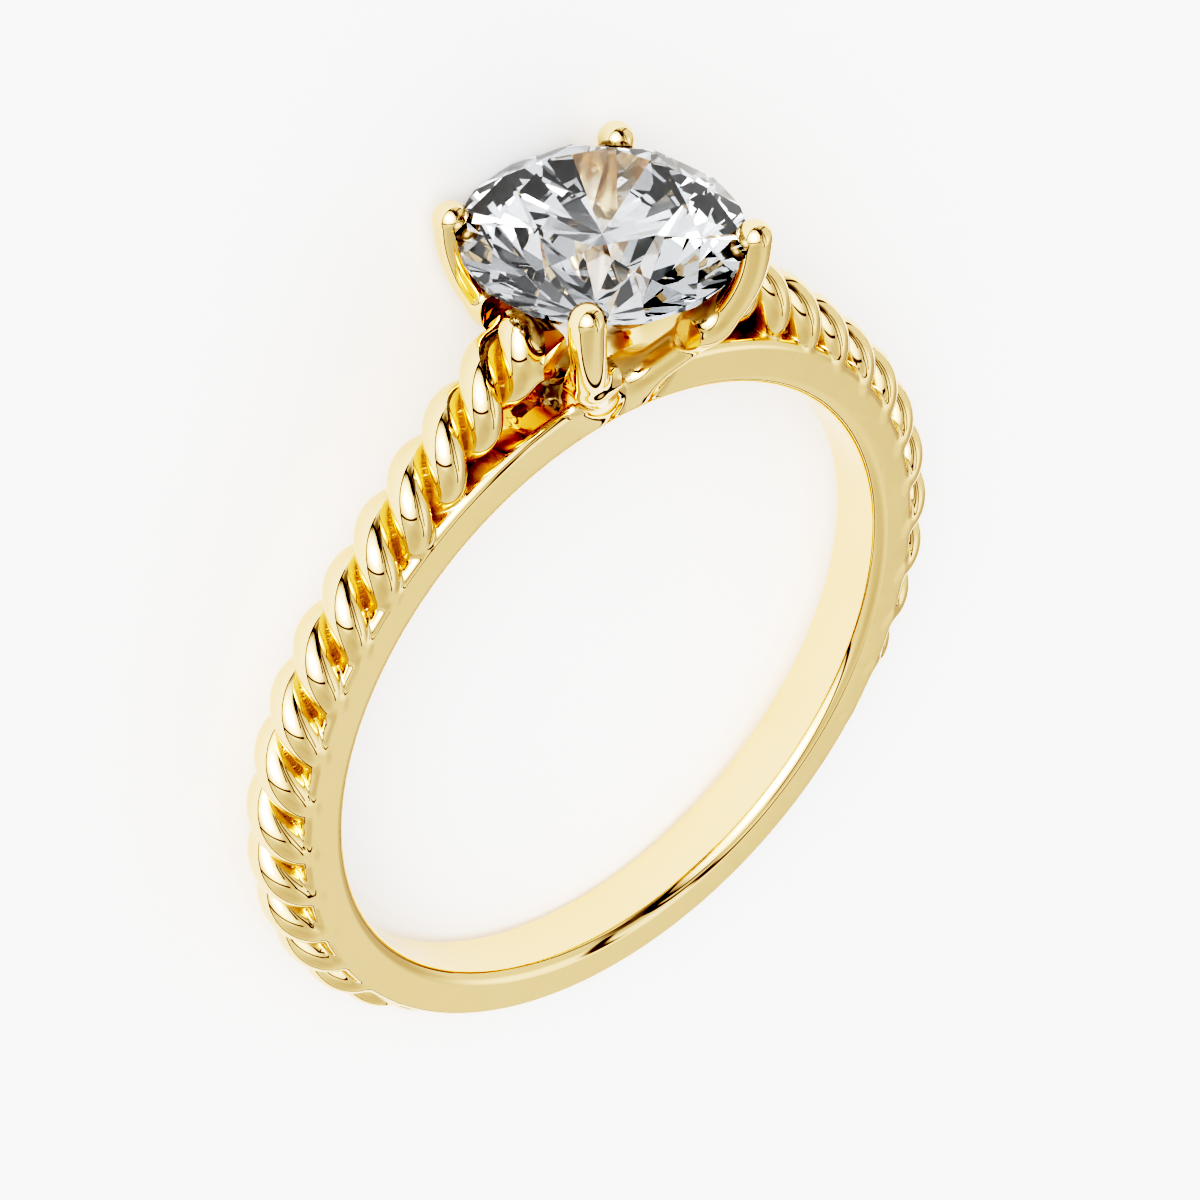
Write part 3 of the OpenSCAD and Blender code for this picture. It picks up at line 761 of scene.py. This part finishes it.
# Light by direction, as seen from the ring: azimuth from +X towards +Y, elevation over the table,
# full inside the first angle and gone outside the second
tent = {"base": 0.80, "top": 0.66, "topFrom": 0.6}
softboxes = [
    {"name": "front", "azimuth": 47, "elevation": 38, "full": 8, "gone": 50, "light": 0.95},
    {"name": "back", "azimuth": -112, "elevation": 57, "full": 8, "gone": 32, "light": 0.36},
    {"name": "frontCore", "azimuth": 47, "elevation": 38, "full": 6, "gone": 22, "light": 3.0},
]
gaps = [
    {"name": "openCorner", "azimuth": -22, "elevation": 38, "full": 4, "gone": 21, "shade": 0.30},
    {"name": "openCornerLow", "azimuth": -12, "elevation": 19, "full": 3, "gone": 15, "shade": 0.40},
    {"name": "cornerFoot", "azimuth": 3, "elevation": 6, "full": 2, "gone": 10, "shade": 0.55},
    {"name": "sideFold", "azimuth": -125, "elevation": 14, "full": 4, "gone": 28, "shade": 0.72},
    {"name": "farSide", "azimuth": 150, "elevation": 33, "full": 8, "gone": 36, "shade": 0.82},
]
# Seams of the tent: dark lines that the polished metal mirrors. Each runs through three directions,
# dark within its first half width and gone outside its second, in degrees
seamLook = {"full": 0.9, "gone": 3.4, "shade": 0.17, "endFade": 0.02}
seams = [
    {"name": "skirtFront", "path": [(-10, 1.6), (70, 1.6), (150, 1.6)]},
    {"name": "skirtBack", "path": [(150, 1.6), (-150, 1.6), (-90, 1.6)]},
    {"name": "frontCorner", "path": [(93, 2), (94, 40), (96, 84)]},
    {"name": "leftCorner", "path": [(4, 2), (-9, 26), (-3, 72)]},
    {"name": "roofFront", "path": [(-12, 26), (-36, 62), (-92, 79)]},
    {"name": "roofBack", "path": [(-92, 79), (-142, 62), (-154, 46)]},
    {"name": "roofFold", "path": [(-126, 54), (-92, 59), (-46, 47)]},
    {"name": "sideHem", "path": [(-26, 27), (-45, 14), (-66, 1)]},
]
world = bpy.data.worlds.new("white tent")
scene.world = world
world.use_nodes = True
air = world.node_tree
air.nodes.clear()
aim = addNode(air, "ShaderNodeTexCoord", (0, 0)).outputs["Generated"]
split = addNode(air, "ShaderNodeSeparateXYZ", (1, 0), links={0: aim})
light = addNode(air, "ShaderNodeMapRange", (2, 0),
                {"From Min": tent["topFrom"], "From Max": 1.0, "To Min": tent["base"], "To Max": tent["top"]},
                {"Value": split.outputs["Z"]}).outputs[0]


def towards(azimuth, elevation):
    a, e = math.radians(azimuth), math.radians(elevation)
    return (math.cos(e) * math.cos(a), math.cos(e) * math.sin(a), math.sin(e))


for row, patch in enumerate(softboxes + gaps):
    facing = addNode(air, "ShaderNodeVectorMath", (1, row + 1), operation="DOT_PRODUCT", links={0: aim})
    facing.inputs[1].default_value = towards(patch["azimuth"], patch["elevation"])
    edge = {"From Min": math.cos(math.radians(patch["gone"])),
            "From Max": math.cos(math.radians(patch["full"]))}
    edge.update({"To Min": 0.0, "To Max": patch["light"]} if "light" in patch
                else {"To Min": 1.0, "To Max": patch["shade"]})
    soft = addNode(air, "ShaderNodeMapRange", (2, row + 1), edge,
                   {"Value": facing.outputs["Value"]}, interpolation_type="SMOOTHSTEP")
    light = addNode(air, "ShaderNodeMath", (3, row + 1), operation="ADD" if "light" in patch else "MULTIPLY",
                    links={0: light, 1: soft.outputs[0]}).outputs[0]
for row, seam in enumerate(seams):
    first, through, last = (Vector(towards(*spot)) for spot in seam["path"])
    axis = (through - first).cross(last - first).normalized()
    middle = (first + last).normalized()
    place, wide = len(softboxes + gaps) + 2 * row, math.sqrt(1 - axis.dot(first) ** 2)
    facing = addNode(air, "ShaderNodeVectorMath", (1, place), operation="DOT_PRODUCT", links={0: aim})
    facing.inputs[1].default_value = axis
    off = addNode(air, "ShaderNodeMath", (2, place), operation="SUBTRACT", links={0: facing.outputs["Value"]})
    off.inputs[1].default_value = axis.dot(first)
    away = addNode(air, "ShaderNodeMath", (3, place), operation="ABSOLUTE", links={0: off.outputs[0]})
    across = addNode(air, "ShaderNodeMapRange", (4, place), {
        "From Min": wide * math.radians(seamLook["full"]), "From Max": wide * math.radians(seamLook["gone"]),
        "To Min": seamLook["shade"], "To Max": 1.0}, {"Value": away.outputs[0]},
        interpolation_type="SMOOTHSTEP")
    inside = addNode(air, "ShaderNodeVectorMath", (2, place + 1), operation="DOT_PRODUCT", links={0: aim})
    inside.inputs[1].default_value = middle
    along = addNode(air, "ShaderNodeMapRange", (3, place + 1), {
        "From Min": middle.dot(first), "From Max": middle.dot(first) - seamLook["endFade"],
        "To Min": 0.0, "To Max": 1.0},
        {"Value": inside.outputs["Value"]})
    shade = addNode(air, "ShaderNodeMath", (5, place), operation="MAXIMUM",
                    links={0: across.outputs[0], 1: along.outputs[0]})
    light = addNode(air, "ShaderNodeMath", (6, place), operation="MULTIPLY",
                    links={0: light, 1: shade.outputs[0]}).outputs[0]
shine = addNode(air, "ShaderNodeBackground", (7, 0), {"Color": (1, 1, 1, 1)}, {"Strength": light})
addNode(air, "ShaderNodeOutputWorld", (8, 0), links={"Surface": shine.outputs[0]})

# The picture's tone: deep shadows fall to black and the whites roll off softly
tone = {"black": 0.157, "white": 1.7,
        "points": [(0.045, 0.072), (0.139, 0.332), (0.293, 0.672), (0.546, 0.887)]}
scene.view_settings.view_transform = "Standard"
scene.view_settings.use_curve_mapping = True
curves = scene.view_settings.curve_mapping
curves.black_level = (tone["black"],) * 3
curves.white_level = (tone["white"],) * 3
for spot in tone["points"]:
    curves.curves[3].points.new(*spot)
curves.update()
print("stage set")

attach(goldRing, "root")
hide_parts("gold_ring")
